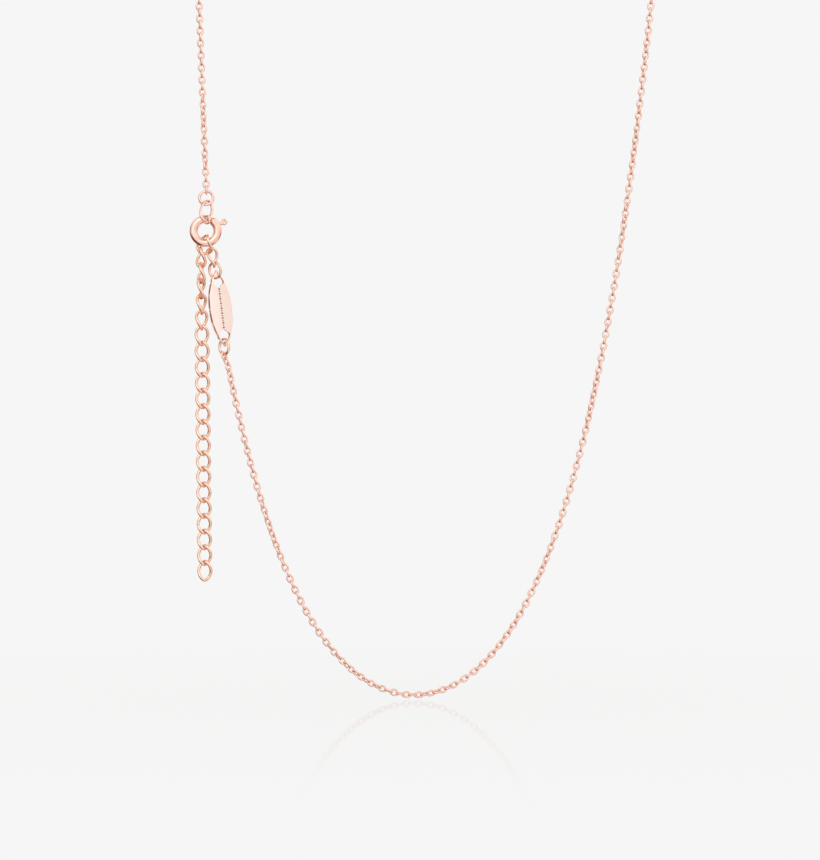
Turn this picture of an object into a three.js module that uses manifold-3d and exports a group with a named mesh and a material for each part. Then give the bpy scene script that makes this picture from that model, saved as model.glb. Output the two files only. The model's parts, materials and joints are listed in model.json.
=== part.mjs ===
// Chain necklace with a spring-ring clasp, an extender chain and an oval tag, hanging on a display neck.
// Units are millimetres. X is right, Y is back, Z is up. The origin is the centre of the display neck,
// level with the chain that rests on it; the front of the necklace hangs in the plane Y = 0.
import * as THREE from 'three';
import { mergeVertices } from 'three/addons/utils/BufferGeometryUtils.js';
import Module from 'manifold-3d';

const wasm = await Module();
wasm.setup();

// ---------------------------------------------------------------------------------------------
// Driving dimensions
// ---------------------------------------------------------------------------------------------
const TOUCH = 0.05; // gap left between two links that bear on each other

// Fine trace chain, drawn as plain round cord of the chain's outer diameter
const CHAIN_RADIUS = 0.58;
const CHAIN_STEP = 2.9;
const CHAIN_SIDES = 8;
const CHAIN_LINK = { length: 1.56, width: 1.18, wire: 0.14 };

// Where the chain lies on the neck, and how the front hangs
const NECK_RADIUS = 36.5;
const SHOULDER_RADIUS = 8;
const NECK_PIECES = 5;
const DRAPE_SIZE = 12.85; // catenary parameter of the hanging front
const DRAPE_LOW = { x: -1.92, z: -123.81 };
const SWING_LEVELS = [-8, -20, -31.5, -43.42, -51.5, -55.1, -69.34, -81, -93, -104, -113, -119.5];

// Jump rings, links, clasp and tag, all in round wire
const WIRE = 0.23;
const END_RING = { x: -35.14, z: -44.3, radius: 1.09 };
const CLASP_LINK = { length: 4.3, width: 2.556 };
const CLASP_LINK_PLACE = { x: -35.09, y: -0.709, z: -46.393, turn: 34.3, tilt: 35.45, lean: -15 };
const CLASP = { x: -35.25, z: -49.6, radius: 1.92, tube: 0.66, bore: 0.38, dome: 0.52 };
const CLASP_EYE = { radius: 0.594, wire: 0.18 };
const CLASP_EYE_PLACE = { x: -34.987, y: -1.188, z: -47.858, turn: -36.4, tilt: -3.5 };
const CLASP_ANGLES = { tubeEnd: 56, tubeStart: 88, boreEnd: -112 };
const BOLT = { radius: 0.34, tip: 87, tail: 16, lever: 26, travel: 24 };
const LEVER = { stem: 0.2, inner: 2.62, bedded: 0.25, length: 1.2, width: 1.05, thickness: 0.62 };
const SLOT = { overrun: 9, play: 0.05 }; // degrees past the stem at each end; gap beside it
const SPRING = { radius: 0.3, wire: 0.055, turns: 11, start: 13, end: -108 };

const LINK_TWIST = 45; // degrees each way, as in a curb chain
const TAIL_LINK = { length: 3.56, width: 2.45, wire: 0.25, twist: LINK_TWIST };
const TAIL_PLAY = 0.05;
const TAIL_FIRST = 3;
const TAIL_LAST = 23;
const TAIL_TOP = { x: -36.016, y: 0.5, z: -53.78 };
const TAIL_LEAN = 0.7; // degrees, foot of the tail to the right
const TAIL_TURNS = [-59, -75, -100, -118, -136, -158, -172]; // the tail makes half a turn at its top
const TAIL_REST_TURN = -180;
const HOOKED_LINK = { length: 3.563, width: 3.3, twist: LINK_TWIST };
const HOOKED_PLACE = { x: -35.307, y: 0.205, z: -51.745, turn: -37.93, tilt: -20, lean: -15.3 };
const SIDE_LINK = { length: 3.5, width: 2.45, twist: LINK_TWIST };
const SIDE_PLACE = { x: -34.122, y: 0.125, z: -53.829, turn: -122.89, tilt: 7.08, lean: 9.42 };

const TAG = { length: 12.2, width: 3.8, thickness: 0.75 };
const TAG_PLACE = { x: -32.87, y: 0.02, z: -62.01, turn: 28, lean: 7 };
const TAG_CURVE = { shoulder: 0.62, flank: 0.9, waist: 0.3 }; // share of the half length or half width
const TAG_HOLE = { radius: 0.9, offset: 4.4, play: 0.17 };
const TAG_RING_RADIUS = 1.25;
const TAG_TOP_RING = { x: -33.748, y: 0.102, z: -55.892, turn: -42.2, lean: 13 };
const TAG_BOTTOM_RING_TURN = -52;

const ROSE_GOLD = '#e9b7a2';
const PALE_ROSE_GOLD = '#f3c9b8';
const SPRING_STEEL = '#c9c4bd';

// ---------------------------------------------------------------------------------------------
// Helpers
// ---------------------------------------------------------------------------------------------
const radians = THREE.MathUtils.degToRad;
const necklace = new THREE.Group();

function metal(color, roughness) {
  return new THREE.MeshStandardMaterial({ color, roughness, metalness: 1 });
}

function addPiece(name, geometry, material) {
  const piece = new THREE.Mesh(geometry, material);
  piece.name = name;
  necklace.add(piece);
  return piece;
}

function toSolid(geometry) {
  const bare = geometry.index ? geometry.clone() : geometry;
  bare.deleteAttribute('normal');
  bare.deleteAttribute('uv');
  const merged = mergeVertices(bare, 1e-4);
  const vertProperties = new Float32Array(merged.attributes.position.array);
  const triVerts = new Uint32Array(merged.index.array);
  return new wasm.Manifold(new wasm.Mesh({ numProp: 3, vertProperties, triVerts }));
}

function toGeometry(solid) {
  const mesh = solid.getMesh();
  const geometry = new THREE.BufferGeometry();
  geometry.setAttribute('position', new THREE.Float32BufferAttribute(mesh.vertProperties, 3));
  geometry.setIndex(new THREE.Uint32BufferAttribute(mesh.triVerts, 1));
  geometry.computeVertexNormals();
  return geometry;
}

function joined(...geometries) {
  return toGeometry(geometries.map(toSolid).reduce((whole, next) => whole.add(next)));
}

// A closed wire link standing along Z: an oval whose plane turns by -twist at the top and +twist at
// the bottom, as the links of a curb chain do. A twist of 0 gives a flat oval or a round ring.
class LinkCurve extends THREE.Curve {
  constructor(halfWidth, halfHeight, twist = 0) {
    super();
    this.halfWidth = halfWidth;
    this.halfHeight = halfHeight;
    this.twist = radians(twist);
  }

  getPoint(t, target = new THREE.Vector3()) {
    const angle = 2 * Math.PI * t;
    const reach = this.halfWidth * Math.cos(angle);
    const turn = -this.twist * Math.sin(angle);
    const height = this.halfHeight * Math.sin(angle);
    return target.set(reach * Math.cos(turn), reach * Math.sin(turn), height);
  }
}

function wireLink({ length, width, twist = 0, wire = WIRE, steps = 14, sides = 6 }) {
  const curve = new LinkCurve(width / 2 - wire, length / 2 - wire, twist);
  return new THREE.TubeGeometry(curve, steps, wire, sides, true);
}

// Stands a link at its middle, turned about its own length, then tilted with its foot to the front and
// leant with its foot to the right.
function placeLink(piece, { x, y = 0, z, turn = 0, tilt = 0, lean = 0 }) {
  piece.position.set(x, y, z);
  piece.rotation.set(-radians(tilt), -radians(lean), 0, 'YXZ');
  piece.rotateZ(radians(turn));
}

function wireRing(radius) {
  const outer = 2 * (radius + WIRE);
  return wireLink({ length: outer, width: outer, steps: 18 });
}

// A round-ended cord that follows a flat curve from one end to the other; `normal` is square to the curve.
function cordAlong(curve, normal = new THREE.Vector3(0, 1, 0)) {
  const length = curve.getLength();
  const steps = Math.max(1, Math.round(length / CHAIN_STEP));
  const middle = length - 2 * CHAIN_RADIUS;
  const cord = new THREE.CapsuleGeometry(CHAIN_RADIUS, middle, 3, CHAIN_SIDES, steps);
  const position = cord.attributes.position;
  const side = new THREE.Vector3();
  for (let index = 0; index < position.count; index += 1) {
    const travel = THREE.MathUtils.clamp(0.5 + position.getY(index) / length, 0, 1);
    side.crossVectors(normal, curve.getTangentAt(travel));
    const point = curve.getPointAt(travel);
    point.addScaledVector(normal, position.getX(index));
    point.addScaledVector(side, position.getZ(index));
    position.setXYZ(index, point.x, point.y, point.z);
  }
  return cord;
}

class PathCurve extends THREE.Curve {
  constructor(pointAt, from, to) {
    super();
    this.pointAt = pointAt;
    this.from = from;
    this.to = to;
  }

  getPoint(t, target = new THREE.Vector3()) {
    return target.copy(this.pointAt(THREE.MathUtils.lerp(this.from, this.to, t)));
  }
}

// ---------------------------------------------------------------------------------------------
// Fine chain
// ---------------------------------------------------------------------------------------------
const chainMetal = metal(ROSE_GOLD, 0.22);

// Point of the hanging front, by its distance along the chain from the lowest point.
function drapeAt(distance) {
  const x = DRAPE_LOW.x + DRAPE_SIZE * Math.asinh(distance / DRAPE_SIZE);
  const z = DRAPE_LOW.z + Math.hypot(DRAPE_SIZE, distance) - DRAPE_SIZE;
  return new THREE.Vector3(x, 0, z);
}

function drapeDistance(level) {
  const height = level - DRAPE_LOW.z + DRAPE_SIZE;
  return Math.sqrt(height * height - DRAPE_SIZE * DRAPE_SIZE);
}

function neckPoint(angle) {
  const x = NECK_RADIUS * Math.cos(angle);
  const y = SHOULDER_RADIUS + NECK_RADIUS * Math.sin(angle);
  return new THREE.Vector3(x, y, 0);
}

function shoulderPoint(side, angle) {
  const y = SHOULDER_RADIUS * (1 - Math.cos(angle));
  const z = SHOULDER_RADIUS * (Math.sin(angle) - 1);
  return new THREE.Vector3(side * NECK_RADIUS, y, z);
}

function addNeckChain() {
  const spare = TOUCH / NECK_RADIUS;
  const shoulderSpare = TOUCH / SHOULDER_RADIUS;
  for (const [name, side] of [['neck_chain_left_shoulder', -1], ['neck_chain_right_shoulder', 1]]) {
    const pointAt = (angle) => shoulderPoint(side, angle);
    const curve = new PathCurve(pointAt, shoulderSpare, Math.PI / 2 - shoulderSpare);
    addPiece(name, cordAlong(curve, new THREE.Vector3(1, 0, 0)), chainMetal);
  }
  for (let piece = 0; piece < NECK_PIECES; piece += 1) {
    const from = Math.PI - (Math.PI * piece) / NECK_PIECES - spare;
    const to = Math.PI - (Math.PI * (piece + 1)) / NECK_PIECES + spare;
    const curve = new PathCurve(neckPoint, from, to);
    addPiece(`neck_chain_${piece + 1}`, cordAlong(curve, new THREE.Vector3(0, 0, 1)), chainMetal);
  }
}

function addRightChain() {
  for (let piece = 1; piece < SWING_LEVELS.length; piece += 1) {
    const from = drapeDistance(SWING_LEVELS[piece - 1]) - TOUCH;
    const to = drapeDistance(SWING_LEVELS[piece]) + TOUCH;
    addPiece(`chain_right_${piece}`, cordAlong(new PathCurve(drapeAt, from, to)), chainMetal);
  }
  const reach = drapeDistance(SWING_LEVELS.at(-1)) - TOUCH;
  addPiece('chain_bottom', cordAlong(new PathCurve(drapeAt, -reach, reach)), chainMetal);
}

// The last real link of a cord, which goes round the wire of a ring. The link's plane faces along
// `turn` degrees, and `z` is the height of its middle.
function endLink(x, z, turn) {
  return wireLink(CHAIN_LINK)
    .rotateZ(radians(turn))
    .translate(x, 0, z);
}

const CHAIN_LINK_REACH = CHAIN_LINK.length / 2 - CHAIN_LINK.wire;
const HOOK_GAP = WIRE + CHAIN_LINK.wire + TOUCH;

function addLeftUpperChain() {
  const hook = END_RING.z + END_RING.radius - HOOK_GAP;
  const linkMiddle = hook + CHAIN_LINK_REACH;
  const top = new THREE.Vector3(-NECK_RADIUS, 0, SWING_LEVELS[0] - TOUCH);
  const foot = new THREE.Vector3(END_RING.x, 0, linkMiddle + CHAIN_LINK_REACH - CHAIN_LINK.wire);
  const strandAt = (level) => top.clone().lerp(foot, (top.z - level) / (top.z - foot.z));
  const [shoulder, upper, lower] = SWING_LEVELS;
  const cordFrom = (from, to) => cordAlong(new PathCurve(strandAt, from, to));
  addPiece('chain_left_1', cordFrom(shoulder - TOUCH, upper + TOUCH), chainMetal);
  addPiece('chain_left_2', cordFrom(upper - TOUCH, lower + TOUCH), chainMetal);
  const last = joined(cordFrom(lower - TOUCH, foot.z), endLink(END_RING.x, linkMiddle, 90));
  addPiece('chain_left_3', last, chainMetal);
}

function addLeftLowerChain(ringFoot) {
  const linkMiddle = ringFoot.z + HOOK_GAP - CHAIN_LINK_REACH;
  const levels = SWING_LEVELS.slice(7);
  const cordFrom = (from, to) => {
    return cordAlong(new PathCurve(drapeAt, -drapeDistance(from), -drapeDistance(to)));
  };
  const top = linkMiddle - CHAIN_LINK_REACH + CHAIN_LINK.wire;
  const hook = endLink(ringFoot.x, linkMiddle, TAG_BOTTOM_RING_TURN + 90);
  addPiece('chain_left_4', joined(cordFrom(top, levels[0] + TOUCH), hook), chainMetal);
  for (let piece = 1; piece < levels.length; piece += 1) {
    const cord = cordFrom(levels[piece - 1] - TOUCH, levels[piece] + TOUCH);
    addPiece(`chain_left_${piece + 4}`, cord, chainMetal);
  }
}

// ---------------------------------------------------------------------------------------------
// Clasp end
// ---------------------------------------------------------------------------------------------
const polishedMetal = metal(ROSE_GOLD, 0.12);

function addEndRings() {
  const ring = addPiece('chain_end_ring', wireRing(END_RING.radius), polishedMetal);
  ring.position.set(END_RING.x, 0, END_RING.z);
  placeLink(addPiece('clasp_link', wireLink({ ...CLASP_LINK, steps: 18 }), polishedMetal), CLASP_LINK_PLACE);
}

// Part of the clasp's circle, in the plane Y = 0 and centred on the origin; angles run anticlockwise
// from +X as seen from the front.
function claspArc(radius, from, to, sides = 12) {
  const span = Math.abs(to - from);
  const steps = Math.max(2, Math.round(span / 12));
  const arcAt = (angle) => {
    return new THREE.Vector3(Math.cos(angle), 0, Math.sin(angle)).multiplyScalar(CLASP.radius);
  };
  const section = new THREE.Shape().absarc(0, 0, radius, 0, 2 * Math.PI);
  const extrudePath = new PathCurve(arcAt, radians(from), radians(to));
  return new THREE.ExtrudeGeometry(section, { steps, curveSegments: sides, extrudePath });
}

function claspBall(radius, angle) {
  const x = CLASP.radius * Math.cos(radians(angle));
  const z = CLASP.radius * Math.sin(radians(angle));
  return new THREE.SphereGeometry(radius, 12, 8).translate(x, 0, z);
}

function claspBody() {
  const { tubeEnd, tubeStart, boreEnd } = CLASP_ANGLES;
  const slotFrom = BOLT.lever + SLOT.overrun;
  const slotTo = BOLT.lever - BOLT.travel - SLOT.overrun;
  const slotWidth = 2 * (LEVER.stem + SLOT.play);
  const slotShape = new THREE.Shape();
  slotShape.absarc(0, 0, CLASP.radius + 2 * CLASP.tube, radians(slotTo), radians(slotFrom));
  slotShape.absarc(0, 0, CLASP.radius, radians(slotFrom), radians(slotTo), true);
  const cut = { depth: slotWidth, bevelEnabled: false, curveSegments: 10 };
  const slot = new THREE.ExtrudeGeometry(slotShape, cut)
    .translate(0, 0, -slotWidth / 2)
    .rotateX(Math.PI / 2);
  return toGeometry(
    toSolid(claspArc(CLASP.tube, tubeStart, tubeEnd + 360))
      .add(toSolid(claspBall(CLASP.dome, tubeEnd)))
      .subtract(toSolid(claspArc(CLASP.bore, boreEnd, tubeEnd + 20)))
      .subtract(toSolid(slot)),
  );
}

function clickLever() {
  const { stem, inner, bedded, length, width, thickness } = LEVER;
  const start = CLASP.radius + BOLT.radius + TOUCH;
  const end = inner + bedded;
  const shank = new THREE.CylinderGeometry(stem, stem, end - start, 10)
    .rotateZ(-Math.PI / 2)
    .translate((start + end) / 2, 0, 0);
  const head = new THREE.SphereGeometry(0.5, 14, 10)
    .scale(length, thickness, width)
    .translate(inner + length / 2, 0, 0);
  return joined(shank, head).rotateY(-radians(BOLT.lever));
}

class SpringCurve extends THREE.Curve {
  getPoint(t, target = new THREE.Vector3()) {
    const along = radians(THREE.MathUtils.lerp(SPRING.start, SPRING.end, t));
    const around = 2 * Math.PI * SPRING.turns * t;
    const reach = CLASP.radius + SPRING.radius * Math.cos(around);
    return target.set(reach * Math.cos(along), SPRING.radius * Math.sin(around), reach * Math.sin(along));
  }
}

function boltSpring() {
  const section = new THREE.Shape().absarc(0, 0, SPRING.wire, 0, 2 * Math.PI);
  const steps = SPRING.turns * 9;
  return new THREE.ExtrudeGeometry(section, { steps, curveSegments: 4, extrudePath: new SpringCurve() });
}

function addClasp() {
  const pieces = [
    addPiece('clasp_body', claspBody(), polishedMetal),
    addPiece('clasp_bolt', claspArc(BOLT.radius, BOLT.tail, BOLT.tip, 10), polishedMetal),
    addPiece('clasp_lever', clickLever(), polishedMetal),
    addPiece('clasp_spring', boltSpring(), metal(SPRING_STEEL, 0.35)),
  ];
  for (const piece of pieces) {
    piece.position.set(CLASP.x, 0, CLASP.z);
  }
  const outer = 2 * (CLASP_EYE.radius + CLASP_EYE.wire);
  const eye = wireLink({ length: outer, width: outer, wire: CLASP_EYE.wire, steps: 16 });
  placeLink(addPiece('clasp_eye', eye, polishedMetal), CLASP_EYE_PLACE);
}

// ---------------------------------------------------------------------------------------------
// Extender chain
// ---------------------------------------------------------------------------------------------
function addExtender() {
  placeLink(addPiece('extender_link_01', wireLink(SIDE_LINK), chainMetal), SIDE_PLACE);
  placeLink(addPiece('extender_link_02', wireLink(HOOKED_LINK), chainMetal), HOOKED_PLACE);

  const pitch = TAIL_LINK.length - 4 * TAIL_LINK.wire - TAIL_PLAY;
  const lean = radians(TAIL_LEAN);
  for (let link = TAIL_FIRST; link <= TAIL_LAST; link += 1) {
    const travel = pitch * (link - TAIL_FIRST);
    const x = TAIL_TOP.x + travel * Math.sin(lean);
    const z = TAIL_TOP.z - travel * Math.cos(lean);
    const turn = TAIL_TURNS[link - TAIL_FIRST] ?? TAIL_REST_TURN;
    const name = `extender_link_${String(link).padStart(2, '0')}`;
    const piece = addPiece(name, wireLink(TAIL_LINK), chainMetal);
    placeLink(piece, { x, y: TAIL_TOP.y, z, turn, lean: TAIL_LEAN });
  }
}

// ---------------------------------------------------------------------------------------------
// Tag
// ---------------------------------------------------------------------------------------------
// Pointed oval outline, drawn as four curves from point to flank and back.
function tagOutline() {
  const tip = TAG.length / 2;
  const flank = TAG.width / 2;
  const { shoulder, flank: reach, waist } = TAG_CURVE;
  const outline = new THREE.Shape();
  outline.moveTo(0, tip);
  for (const side of [1, -1]) {
    const [x, z] = [side * flank, side * tip];
    outline.bezierCurveTo(x * reach, z * shoulder, x, z * waist, x, 0);
    outline.bezierCurveTo(x, -z * waist, x * reach, -z * shoulder, 0, -z);
  }
  return outline;
}

function tagPlate() {
  const outline = tagOutline();
  for (const side of [-1, 1]) {
    outline.holes.push(new THREE.Path().absarc(0, side * TAG_HOLE.offset, TAG_HOLE.radius, 0, 2 * Math.PI));
  }
  return new THREE.ExtrudeGeometry(outline, { depth: TAG.thickness, bevelEnabled: false, curveSegments: 9 })
    .translate(0, 0, -TAG.thickness / 2)
    .rotateX(Math.PI / 2);
}

// Adds the tag and its two rings; returns the foot of the lower ring.
function addTag() {
  const lean = radians(TAG_PLACE.lean);
  const bearing = TAG_HOLE.offset + TAG_HOLE.radius - WIRE - TAG_HOLE.play;
  const x = TAG_PLACE.x + bearing * Math.sin(lean);
  const z = TAG_PLACE.z - bearing * Math.cos(lean) - TAG_RING_RADIUS;
  const bottomRing = { x, z, turn: TAG_BOTTOM_RING_TURN };
  placeLink(addPiece('tag_plate', tagPlate(), metal(PALE_ROSE_GOLD, 0.18)), TAG_PLACE);
  placeLink(addPiece('tag_ring_top', wireRing(TAG_RING_RADIUS), polishedMetal), TAG_TOP_RING);
  placeLink(addPiece('tag_ring_bottom', wireRing(TAG_RING_RADIUS), polishedMetal), bottomRing);
  return { x, z: z - TAG_RING_RADIUS };
}

addNeckChain();
addRightChain();
addLeftUpperChain();
addEndRings();
addClasp();
addExtender();
addLeftLowerChain(addTag());

export default necklace;
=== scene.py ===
"""Looks for a rose-gold chain necklace with a spring-ring clasp, an extender chain and an oval tag.

Every wire, ring, link and plate is built here as its own mesh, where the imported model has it. Links and
rings that hang upright, or nearly, take the middle of their CAD node's box; the leant ones, the clasp and
the tag repeat the CAD source's places. Shapes are worked out in millimetres and turned into metres when a
piece is made. X is right, Y is back and Z is up.
"""

import json
import math
import random

import bmesh
import bpy
import numpy as np
from mathutils import Matrix, Vector


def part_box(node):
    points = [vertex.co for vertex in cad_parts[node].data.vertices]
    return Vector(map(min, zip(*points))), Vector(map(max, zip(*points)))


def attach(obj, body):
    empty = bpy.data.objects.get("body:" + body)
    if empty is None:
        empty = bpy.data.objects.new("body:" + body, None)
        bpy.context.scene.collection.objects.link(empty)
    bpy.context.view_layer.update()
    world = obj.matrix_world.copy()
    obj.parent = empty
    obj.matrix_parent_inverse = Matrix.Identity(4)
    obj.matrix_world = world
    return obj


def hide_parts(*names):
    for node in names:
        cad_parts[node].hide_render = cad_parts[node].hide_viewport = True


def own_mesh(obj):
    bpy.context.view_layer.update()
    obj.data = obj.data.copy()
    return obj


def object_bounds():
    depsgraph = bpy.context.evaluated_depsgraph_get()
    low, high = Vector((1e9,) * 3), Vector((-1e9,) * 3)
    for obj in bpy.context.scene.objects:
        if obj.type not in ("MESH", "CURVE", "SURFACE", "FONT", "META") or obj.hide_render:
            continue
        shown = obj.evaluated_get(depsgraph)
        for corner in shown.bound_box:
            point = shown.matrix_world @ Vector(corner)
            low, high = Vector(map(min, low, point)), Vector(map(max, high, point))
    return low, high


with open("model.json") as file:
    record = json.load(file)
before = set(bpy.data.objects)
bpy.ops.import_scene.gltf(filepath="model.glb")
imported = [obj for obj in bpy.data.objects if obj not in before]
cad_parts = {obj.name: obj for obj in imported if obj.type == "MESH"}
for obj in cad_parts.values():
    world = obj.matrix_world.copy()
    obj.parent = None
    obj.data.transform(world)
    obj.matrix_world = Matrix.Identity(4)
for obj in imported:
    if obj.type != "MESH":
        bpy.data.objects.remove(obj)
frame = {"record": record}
cad_low, cad_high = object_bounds()

MM = 0.001
random.seed(7)

# ---------------------------------------------------------------------------------------------
# Design values, in millimetres and degrees
# ---------------------------------------------------------------------------------------------
TOUCH = 0.05  # gap between two links that bear on each other
WIRE = 0.23  # wire radius of the rings and the two hooked links

FINE_LINK = {"length": 1.6, "width": 1.18, "wire": 0.155}
FINE_PITCH = 0.98
NECK_RADIUS = 36.5
SHOULDER_RADIUS = 8.0
NECK_PIECES = 5
DRAPE_SIZE = 12.85  # catenary parameter of the hanging front
DRAPE_LOW = (-1.92, -123.81)
# Heights where the hanging chain bends; each stretch of chain between two of them is a CAD node
LEVELS = [-8, -20, -31.5, -43.42, -51.5, -55.1, -69.34, -81, -93, -104, -113, -119.5]
LEFT_ABOVE_CLASP = 3  # stretches of the left strand that hang above the clasp
LEFT_TAKEN = 3  # stretches below them whose place the clasp, the extender's head and the tag take
STRAIGHT_FOOT = 2  # height over which the chain runs straight from the tag's lower ring to its catenary
ROLL_ENDS = 12.0  # length at each end in which the chain comes to the turn that its ring needs
ROLL_WAVES = [(24, 7.5, 0.6), (15, 3.1, 2.0)]  # slow twist: degrees, millimetres to a radian, and start
ROLL_JITTER = 7

LINK_TWIST = 45  # degrees each way, as in a curb chain
TAIL_LINK = {"length": 3.56, "width": 2.45, "wire": 0.25, "twist": LINK_TWIST}
TAIL_FIRST = 3
TAIL_LAST = 23
TAIL_LEAN = 0.7
TAIL_TURNS = [-59, -75, -100, -118, -136, -158, -172]  # the tail makes a third of a turn at its top
TAIL_REST_TURN = -180
SEAM = {"half_width": 0.035, "depth": 0.16}  # groove where a link's ends meet; depth as a share of the wire
SEAM_JITTER = 14
HOOKED_LINK = {"length": 3.563, "width": 3.3, "twist": LINK_TWIST}
HOOKED_PLACE = {"x": -35.307, "y": 0.205, "z": -51.745, "turn": -37.93, "tilt": -20, "lean": -15.3}
SIDE_LINK = {"length": 3.5, "width": 2.45, "twist": LINK_TWIST}
SIDE_PLACE = {"x": -34.122, "y": 0.125, "z": -53.829, "turn": -122.89, "tilt": 7.08, "lean": 9.42}

CLASP_LINK = {"length": 4.3, "width": 2.556}
CLASP_LINK_PLACE = {"x": -35.09, "y": -0.709, "z": -46.393, "turn": 34.3, "tilt": 35.45, "lean": -15}
END_RING_RADIUS = 1.09
TAG_RING_RADIUS = 1.25
TAG_TOP_RING = {"x": -33.748, "y": 0.102, "z": -55.892, "turn": -42.2, "lean": 13}
TAG_BOTTOM_RING_TURN = -52

CLASP = {"radius": 1.92, "tube": 0.66, "bore": 0.38, "dome": 0.77}
CLASP_CENTRE = (-35.25, 0.0, -49.6)
CLASP_EYE = {"radius": 0.594, "wire": 0.18}
CLASP_EYE_PLACE = {"x": -34.987, "y": -1.188, "z": -47.858, "turn": -36.4, "tilt": -3.5}
# Angles round the clasp's circle, anticlockwise from +X: the tube's blunt end, its mouth, and the bore's end
TUBE_START, TUBE_END, BORE_END = 88, 56, -112
TUBE_EDGE = 0.07  # rounding of the blunt end
MOUTH_EDGE = 0.04  # the dome stops this far outside the bore
DOME_OVERLAP = 0.25  # length of the dome that lies before TUBE_END
BOLT = {"radius": 0.34, "rounding": 0.2, "tip": 87, "tail": 16, "lever": 26, "travel": 24}
SLOT = {"width": 0.5, "margin": 9, "overshoot": 0.3}
LEVER = {"stem": 0.2, "inner": 2.62, "length": 1.2, "width": 1.05, "thickness": 0.62}
LEVER_END = LEVER["inner"] + LEVER["length"]
DROP_START = LEVER["inner"] - 0.12  # where the lever's stem begins to swell
DROP_WIDEST = 0.58  # share of the drop's length
DIMPLE = {"along": 3.28, "radius": 0.24, "depth": 0.2}
SPRING = {"radius": 0.3, "wire": 0.055, "turns": 11, "start": 13, "end": -108}

TAG = {"length": 12.2, "width": 3.8, "thickness": 0.75}
TAG_PLACE = {"x": -32.87, "y": 0.02, "z": -62.01, "turn": 28, "lean": 7}
TAG_HOLE = {"radius": 0.9, "offset": 4.4}
TAG_BEVEL = 0.07
TAG_CREASE = 30
# How far the outline's curves are pulled, as shares of half the tag: across and up near its points, and up
# at its sides
TAG_CURVE = {"across": 0.9, "up": 0.62, "side": 0.3}
# The row of marks; the floor and the rim of what cuts them are shares of a mark's size
ENGRAVED = {"count": 17, "half_run": 3.1, "depth": 0.07, "overshoot": 0.03, "floor": 0.55, "rim": 1.2}
# A mark's half size, that size's shares across and along the tag, and its number of sides
LOZENGE = {"half": 0.3, "across": 0.8, "along": 0.62, "sides": 4}
DOT = {"half": 0.17, "across": 0.7, "along": 0.7, "sides": 12}

ROOM_GREY = (0.921, 0.921, 0.921)
VIEW_CENTRE = (-2.56, -81.44)
VIEW_HEIGHT = 137.6  # the picture is taller than it is wide, so the sensor's size spans its height
LENS = 150
SENSOR = 36
FLOOR_HALF = 30.0  # metres
FLOOR_BELOW = 0.1
MIRROR_SHARE = 0.2  # how strong the floor's mirror image is where it is strongest
MIRROR_REACH = 0.2  # how far from the chain's lowest point it fades out, in metres

nodes_of_body = frame["record"]["behaviour"]["bodies"]
body_of = {node: body for body, nodes in nodes_of_body.items() for node in nodes}


def centre_of(node):
    """Middle of a CAD node's box, in millimetres."""
    low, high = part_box(node)
    return np.array((low + high) / 2) / MM


# ---------------------------------------------------------------------------------------------
# Materials
# ---------------------------------------------------------------------------------------------
def new_material(name):
    material = bpy.data.materials.new(name)
    material.use_nodes = True
    shader = material.node_tree.nodes["Principled BSDF"]
    return material, material.node_tree, shader


def noise(tree, place, scale, detail, stretch=(1, 1, 1)):
    """Noise over the piece's own coordinates; scale is in lumps per metre."""
    mapping = tree.nodes.new("ShaderNodeMapping")
    mapping.inputs["Scale"].default_value = stretch
    texture = tree.nodes.new("ShaderNodeTexNoise")
    texture.inputs["Scale"].default_value = scale
    texture.inputs["Detail"].default_value = detail
    tree.links.new(place, mapping.inputs["Vector"])
    tree.links.new(mapping.outputs["Vector"], texture.inputs["Vector"])
    return texture.outputs["Fac"]


def ramp(tree, value, low, high, start=0.35, end=0.65):
    """Colour that goes from low to high as value goes from start to end."""
    mixer = tree.nodes.new("ShaderNodeValToRGB")
    mixer.color_ramp.elements[0].position = start
    mixer.color_ramp.elements[0].color = (*low, 1)
    mixer.color_ramp.elements[1].position = end
    mixer.color_ramp.elements[1].color = (*high, 1)
    tree.links.new(value, mixer.inputs["Fac"])
    return mixer.outputs["Color"]


def spread(tree, value, low, high, start=0.3, end=0.7):
    """Number that goes from low to high as value goes from start to end."""
    scaler = tree.nodes.new("ShaderNodeMapRange")
    scaler.inputs["From Min"].default_value = start
    scaler.inputs["From Max"].default_value = end
    scaler.inputs["To Min"].default_value = low
    scaler.inputs["To Max"].default_value = high
    tree.links.new(value, scaler.inputs["Value"])
    return scaler.outputs["Result"]


def bump(tree, height, strength, distance, before=None):
    node = tree.nodes.new("ShaderNodeBump")
    node.inputs["Strength"].default_value = strength
    node.inputs["Distance"].default_value = distance
    tree.links.new(height, node.inputs["Height"])
    if before is not None:
        tree.links.new(before, node.inputs["Normal"])
    return node.outputs["Normal"]


def polished_metal(name, shade, pale, roughness, waviness):
    """Plated metal: plate colour that drifts, uneven polish, soft tool waves and fine polishing scratches."""
    material, tree, shader = new_material(name)
    place = tree.nodes.new("ShaderNodeTexCoord").outputs["Object"]
    plate = noise(tree, place, scale=900, detail=3)
    polish = noise(tree, place, scale=2600, detail=4)
    waves = noise(tree, place, scale=1500, detail=1)
    scratches = noise(tree, place, scale=5200, detail=2, stretch=(1, 1, 0.12))
    tree.links.new(ramp(tree, plate, shade, pale), shader.inputs["Base Color"])
    tree.links.new(spread(tree, polish, roughness[0], roughness[1]), shader.inputs["Roughness"])
    shader.inputs["Metallic"].default_value = 1.0
    wavy = bump(tree, waves, strength=waviness, distance=0.00005)
    normal = bump(tree, scratches, strength=0.06, distance=0.000006, before=wavy)
    tree.links.new(normal, shader.inputs["Normal"])
    return material


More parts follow.
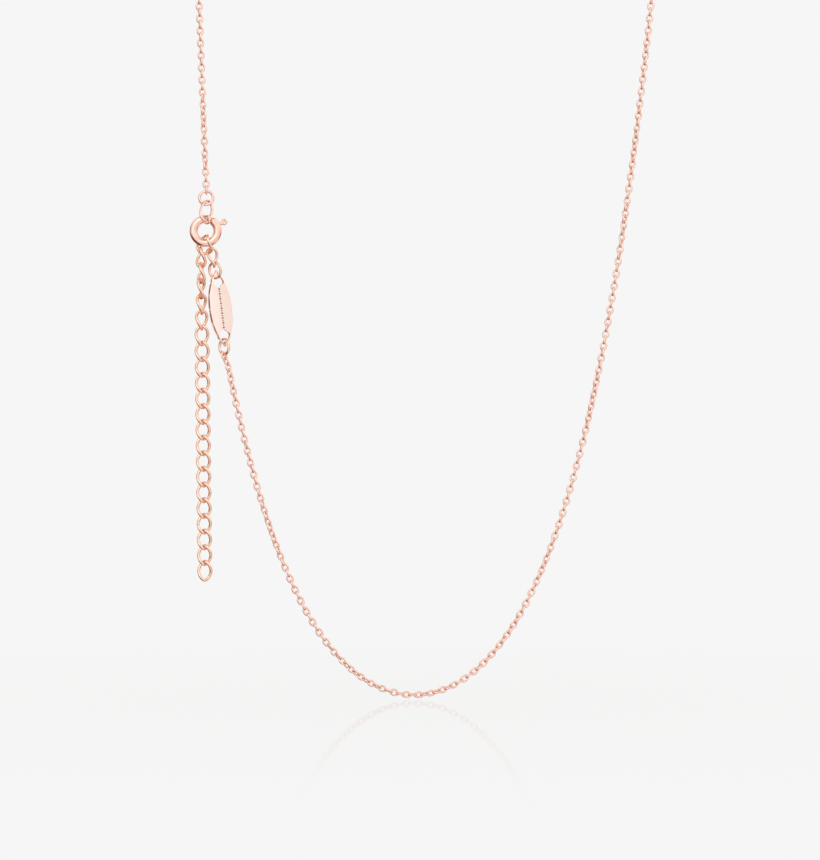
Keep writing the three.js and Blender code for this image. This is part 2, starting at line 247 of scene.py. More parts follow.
def drawn_steel(name):
    """Spring wire: grey steel with draw lines along it."""
    material, tree, shader = new_material(name)
    place = tree.nodes.new("ShaderNodeTexCoord").outputs["Object"]
    lines = noise(tree, place, scale=9000, detail=3, stretch=(1, 0.2, 1))
    tree.links.new(ramp(tree, lines, (0.42, 0.4, 0.38), (0.62, 0.6, 0.57)), shader.inputs["Base Color"])
    tree.links.new(spread(tree, lines, 0.25, 0.42), shader.inputs["Roughness"])
    shader.inputs["Metallic"].default_value = 1.0
    tree.links.new(bump(tree, lines, strength=0.3, distance=0.000005), shader.inputs["Normal"])
    return material


def engraving_painted_shade_metal(name):
    """The floor of the engraved marks: grainy copper, made darker as painted shade for the sunk recesses."""
    material, tree, shader = new_material(name)
    place = tree.nodes.new("ShaderNodeTexCoord").outputs["Object"]
    grain = noise(tree, place, scale=14000, detail=2)
    # The dark brown tones are painted shade in the sunk marks; the grain over them is real texture.
    tree.links.new(ramp(tree, grain, (0.44, 0.2, 0.12), (0.62, 0.33, 0.22)), shader.inputs["Base Color"])
    tree.links.new(spread(tree, grain, 0.4, 0.6), shader.inputs["Roughness"])
    shader.inputs["Metallic"].default_value = 1.0
    tree.links.new(bump(tree, grain, strength=0.5, distance=0.00001), shader.inputs["Normal"])
    return material


materials = {
    "fine_chain_metal": polished_metal(
        "rose_gold_fine_chain", (0.87, 0.56, 0.45), (0.92, 0.63, 0.53), (0.06, 0.13), waviness=0.08
    ),
    "extender_metal": polished_metal(
        "rose_gold_extender", (0.88, 0.57, 0.43), (0.93, 0.64, 0.51), (0.05, 0.11), waviness=0.09
    ),
    "polished_findings": polished_metal(
        "rose_gold_findings", (0.87, 0.56, 0.45), (0.92, 0.64, 0.54), (0.04, 0.1), waviness=0.07
    ),
    # The tag's rose gold is paler than the chain's: a painted highlight, so that its flat face reads as
    # brightly lit.
    "tag_metal": polished_metal(
        "rose_gold_tag_with_painted_highlight", (0.95, 0.76, 0.68), (0.97, 0.79, 0.71), (0.12, 0.2), waviness=0.03
    ),
    "spring_steel": drawn_steel("spring_wire"),
    # The engraving's metal is painted shade: a darker copper that stands in for the shade inside the cut
    # marks.
    "tag_engraving_painted_shade": engraving_painted_shade_metal("tag_engraving_painted_shade"),
}


# ---------------------------------------------------------------------------------------------
# Mesh building
# ---------------------------------------------------------------------------------------------
class Surface:
    """Closed surfaces gathered into one mesh, in millimetres."""

    def __init__(self):
        self.vertices = []
        self.faces = []
        self.count = 0

    def add(self, vertices, faces):
        self.vertices.append(np.asarray(vertices, float))
        self.faces.extend([tuple(corner + self.count for corner in face) for face in faces])
        self.count += len(vertices)

    def mesh(self, name, material, crease=50):
        mesh = bpy.data.meshes.new(name)
        points = np.concatenate(self.vertices) * MM
        mesh.from_pydata(points.tolist(), [], self.faces)
        mesh.materials.append(material)
        finish_mesh(mesh, crease)
        return mesh


def finish_mesh(mesh, crease):
    mesh.polygons.foreach_set("use_smooth", [True] * len(mesh.polygons))
    mesh.set_sharp_from_angle(angle=math.radians(crease))
    mesh.update()


def add_piece(node, mesh):
    """Shows a mesh in place of a CAD node, riding on that node's body."""
    piece = bpy.data.objects.new(f"{node}_detail", mesh)
    bpy.context.scene.collection.objects.link(piece)
    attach(piece, body_of[node])
    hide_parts(node)
    return piece


def show(node, surface, slot):
    """Shows a surface in place of a CAD node, in the metal of its slot."""
    return add_piece(node, surface.mesh(f"{node}_detail", materials[slot]))


def carried_normals(tangents, first, closed):
    """A normal for every point that turns with the curve and not round it."""
    normals = [first - tangents[0] * first.dot(tangents[0])]
    normals[0] /= np.linalg.norm(normals[0])
    for tangent in tangents[1:]:
        normal = normals[-1] - tangent * normals[-1].dot(tangent)
        normals.append(normal / np.linalg.norm(normal))
    normals = np.array(normals)
    if closed:
        start, end = normals[0], normals[-1]
        cross = np.cross(end, start).dot(tangents[0])
        slip = math.atan2(cross, end.dot(start))
        sides = np.cross(tangents, normals)
        turn = np.linspace(0, slip, len(normals))[:, None]
        normals = normals * np.cos(turn) + sides * np.sin(turn)
    return normals


def tube(points, radii, sides, closed=False, caps=True):
    """Vertices and faces of a round tube along points, with its own radius at each point."""
    points = np.asarray(points, float)
    radii = np.broadcast_to(np.asarray(radii, float), len(points))
    if closed:
        tangents = np.roll(points, -1, axis=0) - np.roll(points, 1, axis=0)
    else:
        tangents = np.gradient(points, axis=0)
    tangents /= np.linalg.norm(tangents, axis=1)[:, None]
    least = np.eye(3)[np.argmin(np.abs(tangents[0]))]
    normals = carried_normals(tangents, least, closed)
    across = np.cross(tangents, normals)
    around = 2 * math.pi * np.arange(sides) / sides
    cosines, sines = np.cos(around)[None, :, None], np.sin(around)[None, :, None]
    ring = normals[:, None] * cosines + across[:, None] * sines
    vertices = (points[:, None] + ring * radii[:, None, None]).reshape(-1, 3)
    faces = []
    count = len(points)
    for step in range(count if closed else count - 1):
        here, there = step * sides, (step + 1) % count * sides
        for side in range(sides):
            beside = (side + 1) % sides
            faces.append((here + side, here + beside, there + beside, there + side))
    if not closed and caps:
        faces.append(tuple(reversed(range(sides))))
        faces.append(tuple(range((count - 1) * sides, count * sides)))
    return vertices, faces


def link_points(width, length, wire, twist, angles):
    """Centre line of a wire link standing along Z, its plane turned by -twist at the top and +twist below."""
    reach = (width / 2 - wire) * np.cos(angles)
    turn = -math.radians(twist) * np.sin(angles)
    height = (length / 2 - wire) * np.sin(angles)
    return np.stack([reach * np.cos(turn), reach * np.sin(turn), height], axis=1)


def wire_link(width, length, wire=WIRE, twist=0, steps=64, sides=16, seam=0):
    """A closed wire link with the fine groove where its two ends meet, at seam degrees."""
    whole = 2 * math.pi
    groove_half = SEAM["half_width"] / (length / 2)  # half the groove's angle at the link's size
    clear = 4 * groove_half  # closer than this, rings are placed for the groove and not evenly
    near = np.array([-3, -1.6, -0.8, 0, 0.8, 1.6, 3]) * groove_half
    even = np.linspace(0, whole, steps, endpoint=False)
    even = even[(even > clear) & (even < whole - clear)]
    offsets = np.sort(np.concatenate([near % whole, even]))
    distance = np.minimum(offsets, whole - offsets)
    radii = wire * (1 - SEAM["depth"] * np.exp(-((distance / groove_half) ** 2)))
    points = link_points(width, length, wire, twist, offsets + math.radians(seam))
    return tube(points, radii, sides, closed=True)


def placed(vertices, x, z, y=0, turn=0, tilt=0, lean=0):
    """Turned about Z, tilted with its foot to the front, leant with its foot to the right, then moved."""
    rotation = (
        Matrix.Rotation(-math.radians(lean), 3, "Y")
        @ Matrix.Rotation(-math.radians(tilt), 3, "X")
        @ Matrix.Rotation(math.radians(turn), 3, "Z")
    )
    return np.asarray(vertices) @ np.array(rotation).T + np.array([x, y, z])


def add_link(node, slot, link, place, seam=0):
    vertices, faces = wire_link(**link, seam=seam)
    surface = Surface()
    surface.add(placed(vertices, **place), faces)
    show(node, surface, slot)


def ring_of(radius, wire=WIRE):
    """A round wire ring, by the radius of its centre line."""
    outer = 2 * (radius + wire)
    return {"width": outer, "length": outer, "wire": wire}


def middle_of(node):
    """Where a CAD node's middle is, as the keywords that placed() takes."""
    x, y, z = centre_of(node)
    return {"x": x, "y": y, "z": z}


# ---------------------------------------------------------------------------------------------
# Fine chain
# ---------------------------------------------------------------------------------------------
HOOK_GAP = WIRE + FINE_LINK["wire"] + TOUCH  # between the wire centres of a ring and the link in it
FINE_REACH = FINE_LINK["length"] / 2 - FINE_LINK["wire"]  # from a link's middle to its wire's centre


def drape_point(distance):
    """Point of the catenary, this far along it from its lowest point; the left strand is negative."""
    x = DRAPE_LOW[0] + DRAPE_SIZE * math.asinh(distance / DRAPE_SIZE)
    z = DRAPE_LOW[1] + math.hypot(DRAPE_SIZE, distance) - DRAPE_SIZE
    return (x, 0, z)


def drape_distance(level):
    """How far along the catenary it is from its lowest point up to a level."""
    height = level - DRAPE_LOW[1] + DRAPE_SIZE
    return math.sqrt(height * height - DRAPE_SIZE * DRAPE_SIZE)


def shoulder_point(side, angle):
    """Point of the bend from a hanging strand (0) to the level chain round the neck (a quarter turn)."""
    y = SHOULDER_RADIUS * (1 - math.cos(angle))
    z = SHOULDER_RADIUS * (math.sin(angle) - 1)
    return (side * NECK_RADIUS, y, z)


def neck_point(angle):
    return (NECK_RADIUS * math.cos(angle), SHOULDER_RADIUS + NECK_RADIUS * math.sin(angle), 0)


def chain_path():
    """Points along the whole fine chain, from the tag's lower ring, round the neck, to the clasp's ring."""
    foot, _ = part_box("tag_ring_bottom")
    start = (centre_of("tag_ring_bottom")[0], 0, foot.z / MM + WIRE + HOOK_GAP - FINE_REACH)
    _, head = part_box("chain_end_ring")
    end = (centre_of("chain_end_ring")[0], 0, head.z / MM - WIRE - HOOK_GAP + FINE_REACH)
    low, high = -drape_distance(start[2] - STRAIGHT_FOOT), drape_distance(LEVELS[0])
    points = [start]
    points += [drape_point(s) for s in np.linspace(low, high, num=1200)]
    points += [shoulder_point(1, a) for a in np.linspace(0, math.pi / 2, num=80)[1:]]
    points += [neck_point(a) for a in np.linspace(0, math.pi, num=500)[1:]]
    points += [shoulder_point(-1, a) for a in np.linspace(math.pi / 2, 0, num=80)[1:]]
    points.append(end)
    return np.array(points, float)


def piece_at(point):
    """The CAD node that holds the chain at a point."""
    x, y, z = point
    if z > LEVELS[0]:
        if y < SHOULDER_RADIUS:
            return "neck_chain_left_shoulder" if x < 0 else "neck_chain_right_shoulder"
        angle = math.atan2(y - SHOULDER_RADIUS, x)
        return f"neck_chain_{min(NECK_PIECES, 1 + int((1 - angle / math.pi) * NECK_PIECES))}"
    level = sum(z < level for level in LEVELS)
    if level == len(LEVELS):
        return "chain_bottom"
    if x > DRAPE_LOW[0]:
        return f"chain_right_{level}"
    if z > LEVELS[LEFT_ABOVE_CLASP + 1]:
        return f"chain_left_{min(level, LEFT_ABOVE_CLASP)}"
    return f"chain_left_{level - LEFT_TAKEN}"


def smooth_step(value):
    value = min(1.0, max(0.0, value))
    return value * value * (3 - 2 * value)


def roll_at(distance, total, last_turn):
    """Slow twist of the chain along its length; its two end links keep the turn their rings need."""
    first = (TAG_BOTTOM_RING_TURN + 90) * (1 - smooth_step(distance / ROLL_ENDS))
    last = last_turn * smooth_step((distance - total + ROLL_ENDS) / ROLL_ENDS)
    inside = smooth_step(distance / ROLL_ENDS) * smooth_step((total - distance) / ROLL_ENDS)
    drift = sum(degrees * math.sin(distance / length + start) for degrees, length, start in ROLL_WAVES)
    return first + last + inside * drift


def value_at(distance, along, values):
    """The path's values, given at the distances along it, at any distance."""
    return np.array([np.interp(distance, along, values[:, axis]) for axis in range(3)])


def add_fine_chain():
    """Every link of the fine chain, at even steps along its path, gathered into the CAD's stretches."""
    path = chain_path()
    steps = np.linalg.norm(np.diff(path, axis=0), axis=1)
    along = np.concatenate([[0], np.cumsum(steps)])
    total = along[-1]
    count = round(total / FINE_PITCH)
    tangents = np.gradient(path, axis=0)
    tangents /= np.linalg.norm(tangents, axis=1)[:, None]
    normals = carried_normals(tangents, np.array([0.0, 1.0, 0.0]), False)
    last_turn = 90 if count % 2 == 0 else 0  # every link is turned a quarter to the one before
    vertices, faces = wire_link(**FINE_LINK, steps=26, sides=10)
    surfaces = {}
    for index in range(count + 1):
        distance = total * index / count
        point = value_at(distance, along, path)
        tangent = value_at(distance, along, tangents)
        normal = value_at(distance, along, normals)
        tangent /= np.linalg.norm(tangent)
        beside = np.cross(tangent, normal)
        beside /= np.linalg.norm(beside)
        normal = np.cross(beside, tangent)
        jitter = random.uniform(-ROLL_JITTER, ROLL_JITTER) if 0 < index < count else 0
        roll = math.radians(90 * index + roll_at(distance, total, last_turn) + jitter)
        flip = random.choice((-1, 1))
        side = flip * (math.cos(roll) * beside + math.sin(roll) * normal)
        facing = np.cross(tangent, side)
        turned = vertices @ np.array([side, facing, tangent]) + point
        surfaces.setdefault(piece_at(point), Surface()).add(turned, faces)
    for node, surface in surfaces.items():
        show(node, surface, "fine_chain_metal")


# ---------------------------------------------------------------------------------------------
# Rings, clasp and extender
# ---------------------------------------------------------------------------------------------
def add_rings():
    slot = "polished_findings"
    add_link("chain_end_ring", slot, ring_of(END_RING_RADIUS), middle_of("chain_end_ring"), seam=35)
    add_link("clasp_link", slot, CLASP_LINK, CLASP_LINK_PLACE, seam=5)
    add_link("tag_ring_top", slot, ring_of(TAG_RING_RADIUS), TAG_TOP_RING, seam=10)
    bottom = {**middle_of("tag_ring_bottom"), "turn": TAG_BOTTOM_RING_TURN}
    add_link("tag_ring_bottom", slot, ring_of(TAG_RING_RADIUS), bottom, seam=10)


def on_clasp(angle, radius=CLASP["radius"]):
    """Point of the clasp's circle; angles run anticlockwise from +X as seen from the front."""
    turn = math.radians(angle)
    return (radius * math.cos(turn), 0, radius * math.sin(turn))


def clasp_tube():
    """The hollow ring tube as one surface: outside, round the domed mouth, and back down the bore."""
    radius, wall, bore, dome = CLASP["radius"], CLASP["tube"], CLASP["bore"], CLASP["dome"]
    degrees = math.degrees(1 / radius)  # to a millimetre round the circle
    edge = TUBE_EDGE
    profile = [(TUBE_START + 0.05, wall - 0.3), (TUBE_START, wall - edge)]
    profile += [
        (TUBE_START + degrees * edge * (1 - math.cos(a)), wall - edge * (1 - math.sin(a)))
        for a in np.linspace(0.3, math.pi / 2, num=4)
    ]
    shoulder = TUBE_END + 360 - DOME_OVERLAP * degrees
    profile += [(angle, wall) for angle in np.linspace(TUBE_START + 6, shoulder, num=96)]
    reach = dome * math.sqrt(1 - ((bore + MOUTH_EDGE) / wall) ** 2)
    for travel in np.linspace(0.08, 1, num=9):
        along = reach * math.sin(travel * math.pi / 2)
        profile.append((shoulder + along * degrees, wall * math.sqrt(1 - (along / dome) ** 2)))
    mouth = shoulder + reach * degrees
    profile += [(mouth + 0.6, bore + 0.015), (mouth - 0.6, bore), (mouth - 4, bore)]
    profile += [(angle, bore) for angle in np.linspace(mouth - 8, BORE_END + 360, num=50)]
    profile.append((BORE_END + 360, 0.02))
    return bent_profile(profile, sides=32)


def bent_profile(profile, sides):
    """Surface of a profile of (angle, radius) turned round the clasp's circle."""
    vertices, faces = [], []
    for angle, radius in profile:
        turn = math.radians(angle)
        outward = np.array([math.cos(turn), 0, math.sin(turn)])
        for side in range(sides):
            around = 2 * math.pi * side / sides
            offset = radius * (math.cos(around) * outward + math.sin(around) * np.array([0, 1, 0]))
            vertices.append(np.array(on_clasp(angle)) + offset)
    for step in range(len(profile) - 1):
        here, there = step * sides, (step + 1) * sides
        for side in range(sides):
            beside = (side + 1) % sides
            faces.append((here + side, there + side, there + beside, here + beside))
    faces.append(tuple(range(sides)))
    faces.append(tuple(reversed(range((len(profile) - 1) * sides, len(profile) * sides))))
    return vertices, faces


def slot_cutter():
    """The bolt lever's slot: a curved bar with rounded ends through the tube's outer wall."""
    start = BOLT["lever"] - BOLT["travel"] - SLOT["margin"]
    end = BOLT["lever"] + SLOT["margin"]
    radius = CLASP["radius"]
    top = radius + CLASP["tube"] + SLOT["overshoot"]
    longest = 4  # degrees of the bar's side from one point to the next
    half = SLOT["width"] / 2
    rounding = math.degrees(half / (radius + CLASP["tube"]))
    outline = []
    for turn in np.linspace(0, math.pi, 9):
        outline.append((end - rounding + rounding * math.sin(turn), half * math.cos(turn)))
    for turn in np.linspace(0, math.pi, 9):
        outline.append((start + rounding - rounding * math.sin(turn), -half * math.cos(turn)))
    dense = []
    for index, (angle, depth) in enumerate(outline):
        after_angle, after_depth = outline[(index + 1) % len(outline)]
        parts = max(1, round(abs(after_angle - angle) / longest))
        for part in range(parts):
            share = part / parts
            dense.append((angle + (after_angle - angle) * share, depth + (after_depth - depth) * share))
    count = len(dense)
    vertices = []
    for level in (radius, top):
        vertices += [np.array(on_clasp(angle, level)) + [0, depth, 0] for angle, depth in dense]
    faces = [tuple(range(count)), tuple(reversed(range(count, 2 * count)))]
    for index in range(count):
        after = (index + 1) % count
        faces.append((index, index + count, after + count, after))
    return vertices, faces


def carved(name, base, cutter, crease):
    """The base mesh with the cutter's shape taken out of it."""
    body = bpy.data.objects.new(name, base)
    tool = bpy.data.objects.new(f"{name}_tool", cutter)
    bpy.context.scene.collection.objects.link(body)
    bpy.context.scene.collection.objects.link(tool)
    cut = body.modifiers.new("cut", "BOOLEAN")
    cut.operation = "DIFFERENCE"
    cut.solver = "EXACT"
    cut.object = tool
    cut.material_mode = "TRANSFER"
    shapes = bpy.context.evaluated_depsgraph_get()
    mesh = bpy.data.meshes.new_from_object(body.evaluated_get(shapes))
    mesh.name = name
    bpy.data.objects.remove(body)
    bpy.data.objects.remove(tool)
    finish_mesh(mesh, crease)
    return mesh


def on_clasp_centre(vertices, faces):
    """Surface of a part worked out round the clasp's own centre."""
    surface = Surface()
    surface.add(np.array(vertices) + CLASP_CENTRE, faces)
    return surface


def add_clasp_body():
    metal = materials["polished_findings"]
    base = on_clasp_centre(*clasp_tube()).mesh("clasp_base", metal)
    cutter = on_clasp_centre(*slot_cutter()).mesh("clasp_cutter", metal)
    mesh = carved("clasp_body_detail", base, cutter, crease=35)
    add_piece("clasp_body", mesh)


def add_clasp_eye():
    """The eye ring; its seam sits on the tube, where it is soldered."""
    eye = ring_of(CLASP_EYE["radius"], CLASP_EYE["wire"])
    add_link("clasp_eye", "polished_findings", eye, CLASP_EYE_PLACE, seam=-90)


def add_bolt():
    """The sliding bolt, a bent pin with a rounded tip."""
    radius, rounding, tail = BOLT["radius"], BOLT["rounding"], BOLT["tail"]
    degrees = math.degrees(1 / CLASP["radius"])  # to a millimetre round the circle
    profile = [(tail, radius * 0.2), (tail, radius - 0.03), (tail + 1, radius)]
    shoulder = BOLT["tip"] - rounding * degrees
    profile += [(angle, radius) for angle in np.linspace(tail + 3, shoulder, num=24)]
    for travel in np.linspace(0.2, 1, num=6):
        bend = travel * math.pi / 2
        angle = shoulder + rounding * degrees * math.sin(bend)
        profile.append((angle, radius - rounding + rounding * math.cos(bend)))
    show("clasp_bolt", on_clasp_centre(*bent_profile(profile, sides=24)), "polished_findings")


def lever_size(along):
    """Half width and half thickness of the lever, this far from the clasp's centre: a stem, then a drop."""
    stem = LEVER["stem"]
    if along < DROP_START:
        return stem, stem
    part = (along - DROP_START) / (LEVER_END - DROP_START)
    half_width, half_thickness = LEVER["width"] / 2, LEVER["thickness"] / 2
    if part > DROP_WIDEST:
        round_off = math.sqrt(max(0.0, 1 - ((part - DROP_WIDEST) / (1 - DROP_WIDEST)) ** 2))
        return half_width * round_off, half_thickness * round_off
    swell = smooth_step(part / DROP_WIDEST)
    return stem + (half_width - stem) * swell, stem + (half_thickness - stem) * swell


def lever_point(share, around):
    """Point of the lever, by its share of the length and the angle round it, with a dimple in the front."""
    start = CLASP["radius"] + BOLT["radius"] + TOUCH
    along = start + (LEVER_END - start) * share
    half_width, half_thickness = lever_size(along)
    across, depth = half_width * math.cos(around), -half_thickness * math.sin(around)
    if depth < 0:
        away = math.hypot(along - DIMPLE["along"], across) / DIMPLE["radius"]
        depth += DIMPLE["depth"] * math.exp(-(away**4))
    return (along, depth, across)


def add_lever():
    sides, steps = 40, 56
    shares = [(1 - math.cos(math.pi * step / steps)) / 2 for step in range(steps + 1)]
    shares = [0.25 * step / steps + 0.75 * share for step, share in enumerate(shares)]  # closer at both ends
    shares[0], shares[-1] = 0.0, 0.99999  # the last ring stops short of the end, where it would be a point
    vertices, faces = [], []
    for share in shares:
        vertices += [lever_point(share, 2 * math.pi * side / sides) for side in range(sides)]
    for step in range(steps):
        here, there = step * sides, (step + 1) * sides
        for side in range(sides):
            beside = (side + 1) % sides
            faces.append((here + side, here + beside, there + beside, there + side))
    faces.append(tuple(reversed(range(sides))))
    faces.append(tuple(range(steps * sides, (steps + 1) * sides)))
    turn = Matrix.Rotation(-math.radians(BOLT["lever"]), 3, "Y")
    show("clasp_lever", on_clasp_centre(np.array(vertices) @ np.array(turn).T, faces), "polished_findings")


def add_spring():
    """The coil spring inside the tube, built at rest with a mesh of its own; in the real clasp it shortens as
    the bolt is drawn back.
    """
    steps_per_turn = 24
    steps = SPRING["turns"] * steps_per_turn
    points = []
    for step in range(steps + 1):
        share = step / steps
        along = math.radians(SPRING["start"] + (SPRING["end"] - SPRING["start"]) * share)
        around = 2 * math.pi * SPRING["turns"] * share
        reach = CLASP["radius"] + SPRING["radius"] * math.cos(around)
        points.append((reach * math.cos(along), SPRING["radius"] * math.sin(around), reach * math.sin(along)))
    piece = show("clasp_spring", on_clasp_centre(*tube(points, SPRING["wire"], sides=8)), "spring_steel")
    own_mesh(piece)


def add_extender():
    slot = "extender_metal"
    add_link("extender_link_01", slot, SIDE_LINK, SIDE_PLACE, seam=180)
    add_link("extender_link_02", slot, HOOKED_LINK, HOOKED_PLACE, seam=0)
    turns = TAIL_TURNS + [TAIL_REST_TURN] * (TAIL_LAST - TAIL_FIRST + 1 - len(TAIL_TURNS))
    for link, turn in enumerate(turns, TAIL_FIRST):
        node = f"extender_link_{link:02d}"
        seam = random.choice((0, 180)) + random.uniform(-SEAM_JITTER, SEAM_JITTER)
        add_link(node, slot, TAIL_LINK, {**middle_of(node), "turn": turn, "lean": TAIL_LEAN}, seam)


# ---------------------------------------------------------------------------------------------
# Tag
# ---------------------------------------------------------------------------------------------
def bezier(points, steps):
    """Points of one cubic curve, without its last."""
    a, b, c, d = (np.array(point) for point in points)
    return [
        a * (1 - t) ** 3 + 3 * b * t * (1 - t) ** 2 + 3 * c * t * t * (1 - t) + d * t**3
        for t in np.arange(steps) / steps
    ]


def tag_outline(inset, steps=26):
    """The tag's pointed oval, drawn clockwise from its top point and moved inwards by inset."""
    tall, wide = TAG["length"] / 2, TAG["width"] / 2
    across, up, side = wide * TAG_CURVE["across"], tall * TAG_CURVE["up"], tall * TAG_CURVE["side"]
    corners = [(0, tall), (wide, 0), (0, -tall), (-wide, 0)]
    near = [(across, up), (wide, -side), (-across, -up), (-wide, side)]
    far = [(wide, side), (across, -up), (-wide, -side), (-across, up)]
    points = []
    for index in range(4):
        points += bezier([corners[index], near[index], far[index], corners[(index + 1) % 4]], steps)
    points = np.array(points)
    edge = np.roll(points, -1, axis=0) - np.roll(points, 1, axis=0)
    edge /= np.linalg.norm(edge, axis=1)[:, None]
    inward = np.stack([edge[:, 1], -edge[:, 0]], axis=1)
    return points + inward * inset


def plate_curve(name, loops):
    """A flat plate with rounded edges, filled between closed loops, as a mesh lying in the XY plane."""
    curve = bpy.data.curves.new(name, "CURVE")
    curve.dimensions = "2D"
    curve.fill_mode = "BOTH"
    curve.extrude = TAG["thickness"] / 2 - TAG_BEVEL
    curve.bevel_depth = TAG_BEVEL
    curve.bevel_resolution = 4
    for loop in loops:
        spline = curve.splines.new("POLY")
        spline.points.add(len(loop) - 1)
        for point, (x, y) in zip(spline.points, loop):
            point.co = (x, y, 0, 1)
        spline.use_cyclic_u = True
    shape = bpy.data.objects.new(name, curve)
    bpy.context.scene.collection.objects.link(shape)
    shapes = bpy.context.evaluated_depsgraph_get()
    mesh = bpy.data.meshes.new_from_object(shape.evaluated_get(shapes))
    bpy.data.objects.remove(shape)
    return mesh


def engraving_cutter():
    """A row of lozenges with small dots between them, down the middle of the tag's front."""
    surface = Surface()
    face = TAG["thickness"] / 2
    levels = [(ENGRAVED["floor"], face - ENGRAVED["depth"]), (ENGRAVED["rim"], face + ENGRAVED["overshoot"])]
    for index in range(ENGRAVED["count"]):
        height = ENGRAVED["half_run"] * (1 - 2 * index / (ENGRAVED["count"] - 1))
        mark = DOT if index % 2 else LOZENGE
        half, sides = mark["half"], mark["sides"]
        outline = [
            (half * mark["across"] * math.cos(a), height + half * mark["along"] * math.sin(a))
            for a in 2 * math.pi * np.arange(sides) / sides
        ]
        vertices = []
        for size, level in levels:
            vertices += [(x * size, height + (y - height) * size, level) for x, y in outline]
        faces = [tuple(reversed(range(sides))), tuple(range(sides, 2 * sides))]
        faces += [(i, (i + 1) % sides, (i + 1) % sides + sides, i + sides) for i in range(sides)]
        surface.add(vertices, faces)
    return surface


def add_tag():
    """The plate, with the marks cut out of it while it lies flat."""
    steps = 56
    circle = 2 * math.pi * np.arange(steps) / steps
    loops = [tag_outline(TAG_BEVEL)]
    radius = TAG_HOLE["radius"] + TAG_BEVEL
    for side in (-1, 1):
        height = side * TAG_HOLE["offset"]
        loops.append(np.stack([radius * np.cos(circle), height + radius * np.sin(circle)], axis=1))
    plate = plate_curve("tag_outline", loops)
    base = Surface()
    vertices = np.array([vertex.co for vertex in plate.vertices])
    base.add(vertices, [tuple(polygon.vertices) for polygon in plate.polygons])
    base_mesh = base.mesh("tag_base", materials["tag_metal"])
    weld(base_mesh)
    # The cutter's faces become the marks' floors, in the painted-shade engraving metal.
    cutter_mesh = engraving_cutter().mesh("tag_cutter", materials["tag_engraving_painted_shade"])
    mesh = carved("tag_plate_detail", base_mesh, cutter_mesh, TAG_CREASE)
    place_tag(mesh)
    add_piece("tag_plate", mesh)


def weld(mesh):
    """Joins the plate's rounded edges to its faces."""
    nearest = 2e-7  # metres
    work = bmesh.new()
    work.from_mesh(mesh)
    bmesh.ops.remove_doubles(work, verts=work.verts, dist=nearest)
    bmesh.ops.recalc_face_normals(work, faces=work.faces)
    work.to_mesh(mesh)
    work.free()
    finish_mesh(mesh, TAG_CREASE)


def place_tag(mesh):
    """Stands the finished plate up, its engraved face to the front, and puts it where the CAD tag is."""
    points = np.array([vertex.co for vertex in mesh.vertices]) / MM
    upright = np.stack([points[:, 0], -points[:, 2], points[:, 1]], axis=1)
    turned = placed(upright, **TAG_PLACE) * MM
    mesh.vertices.foreach_set("co", turned.ravel())
    mesh.update()


# ---------------------------------------------------------------------------------------------
# Room: light, floor and camera
# ---------------------------------------------------------------------------------------------
# Soft panels and dark flags round the set: direction, its inner and outer radius in degrees, and colour.
PANELS = [
    ((-0.3, -0.85, 0.4), 14, 36, (1.5, 1.68, 1.78)),
    ((0.8, -0.1, 0.58), 8, 32, (1.4, 1.55, 1.62)),
    ((-0.68, 0.0, -0.72), 26, 48, (0.12, 0.04, 0.015)),
    ((-0.84, 0.54, 0.0), 12, 34, (0.3, 0.15, 0.09)),
    ((0.3, 0.1, -0.95), 8, 30, (0.22, 0.09, 0.05)),
    ((-0.1, 0.2, 0.98), 8, 28, (0.3, 0.14, 0.08)),
    ((0.9, 0.3, -0.3), 6, 26, (0.4, 0.22, 0.13)),
    ((0.46, -0.87, 0.15), 8, 30, (1.12, 1.14, 1.16)),
]
ROOM_LIGHT = (0.97, 0.94, 0.92)


def panel_share(tree, direction, toward, inner, outer):
    """1 inside a panel as seen from the set, 0 outside it, soft between."""
    facing = tree.nodes.new("ShaderNodeVectorMath")
    facing.operation = "DOT_PRODUCT"
    tree.links.new(direction, facing.inputs[0])
    facing.inputs[1].default_value = Vector(toward).normalized()
    soft = tree.nodes.new("ShaderNodeMapRange")
    soft.interpolation_type = "SMOOTHSTEP"
    soft.inputs["From Min"].default_value = math.cos(math.radians(outer))
    soft.inputs["From Max"].default_value = math.cos(math.radians(inner))
    tree.links.new(facing.outputs["Value"], soft.inputs["Value"])
    return soft.outputs["Result"]


def mixed_colour(tree, share, before, tint):
    """The colour before with a share of the tint over it; the room's own light where there is none before."""
    mixer = tree.nodes.new("ShaderNodeMix")
    mixer.data_type = "RGBA"
    factor, under, over = mixer.inputs[0], mixer.inputs[6], mixer.inputs[7]  # the colour kind's sockets
    under.default_value = (*ROOM_LIGHT, 1)
    over.default_value = (*tint, 1)
    if before is not None:
        tree.links.new(before, under)
    tree.links.new(share, factor)
    return mixer.outputs[2]


def add_room():
    world = bpy.data.worlds.new("studio")
    world.use_nodes = True
    bpy.context.scene.world = world
    tree = world.node_tree
    background = tree.nodes["Background"]
    direction = tree.nodes.new("ShaderNodeTexCoord").outputs["Generated"]
    colour = None
    for toward, inner, outer, tint in PANELS:
        share = panel_share(tree, direction, toward, inner, outer)
        colour = mixed_colour(tree, share, colour, tint)
    camera_sees = tree.nodes.new("ShaderNodeLightPath").outputs["Is Camera Ray"]
    seen = mixed_colour(tree, camera_sees, colour, ROOM_GREY)
    tree.links.new(seen, background.inputs["Color"])


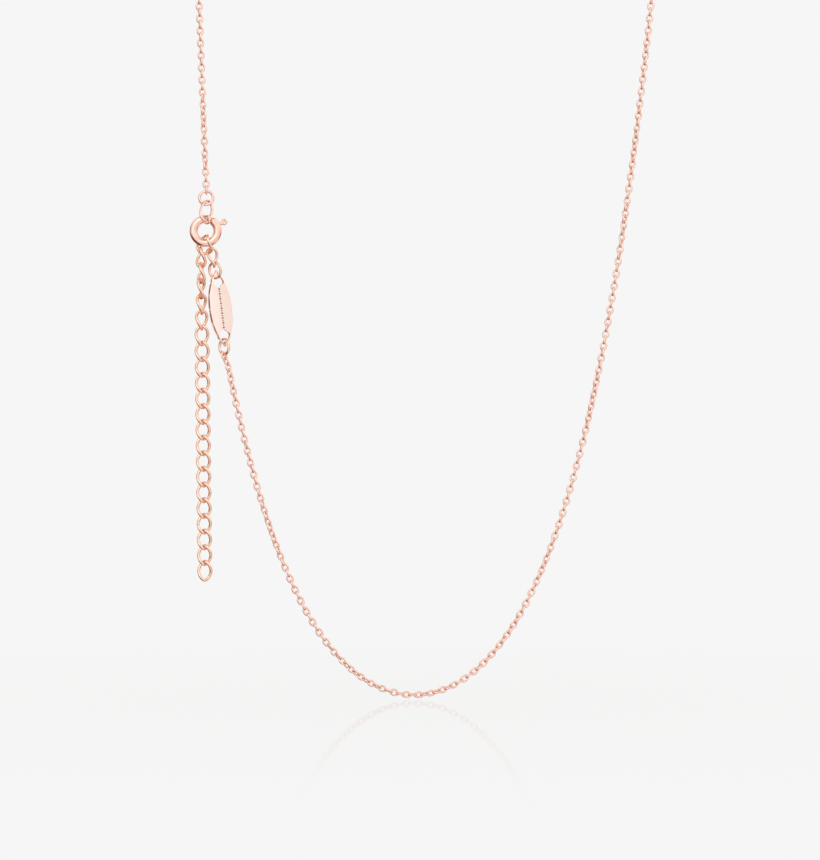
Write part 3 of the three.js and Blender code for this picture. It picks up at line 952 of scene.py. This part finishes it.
def add_floor():
    """A plain pale floor that gives a faint mirror image near the lowest point of the chain."""
    size = FLOOR_HALF
    level = cad_low.z - FLOOR_BELOW * MM
    mesh = bpy.data.meshes.new("floor")
    corners = [(-size, -size, 0), (size, -size, 0), (size, size, 0), (-size, size, 0)]
    mesh.from_pydata(corners, [], [(0, 1, 2, 3)])
    floor = bpy.data.objects.new("floor", mesh)
    floor.location = (DRAPE_LOW[0] * MM, 0, level)
    bpy.context.scene.collection.objects.link(floor)
    floor.visible_glossy = False
    material = bpy.data.materials.new("floor")
    material.use_nodes = True
    tree = material.node_tree
    tree.nodes.clear()
    plain = tree.nodes.new("ShaderNodeEmission")
    plain.inputs["Color"].default_value = (*ROOM_GREY, 1)
    mirror = tree.nodes.new("ShaderNodeBsdfGlossy")
    mirror.inputs["Color"].default_value = (0.9, 0.9, 0.9, 1)
    mirror.inputs["Roughness"].default_value = 0.03
    distance = tree.nodes.new("ShaderNodeVectorMath")
    distance.operation = "LENGTH"
    tree.links.new(tree.nodes.new("ShaderNodeTexCoord").outputs["Object"], distance.inputs[0])
    fade = tree.nodes.new("ShaderNodeMapRange")
    fade.interpolation_type = "SMOOTHSTEP"
    fade.inputs["From Min"].default_value = 0.0
    fade.inputs["From Max"].default_value = MIRROR_REACH
    fade.inputs["To Min"].default_value = MIRROR_SHARE
    fade.inputs["To Max"].default_value = 0.0
    tree.links.new(distance.outputs["Value"], fade.inputs["Value"])
    mix = tree.nodes.new("ShaderNodeMixShader")
    tree.links.new(fade.outputs["Result"], mix.inputs["Fac"])
    tree.links.new(plain.outputs["Emission"], mix.inputs[1])
    tree.links.new(mirror.outputs["BSDF"], mix.inputs[2])
    output = tree.nodes.new("ShaderNodeOutputMaterial")
    tree.links.new(mix.outputs["Shader"], output.inputs["Surface"])
    mesh.materials.append(material)


def add_camera():
    """The camera looks straight at the plane that the front of the necklace hangs in."""
    data = bpy.data.cameras.new("camera")
    data.lens = LENS
    data.sensor_width = SENSOR
    distance = VIEW_HEIGHT * LENS / SENSOR * MM
    data.clip_start, data.clip_end = distance / 20, distance * 100  # the floor runs far behind
    camera = bpy.data.objects.new("camera", data)
    camera.location = (VIEW_CENTRE[0] * MM, -distance, VIEW_CENTRE[1] * MM)
    camera.rotation_euler = (math.pi / 2, 0, 0)
    bpy.context.scene.collection.objects.link(camera)
    bpy.context.scene.camera = camera
    bpy.context.scene.view_settings.view_transform = "Standard"


add_camera()
add_room()
add_floor()
add_fine_chain()
add_rings()
add_clasp_body()
add_clasp_eye()
add_bolt()
add_lever()
add_spring()
add_extender()
add_tag()
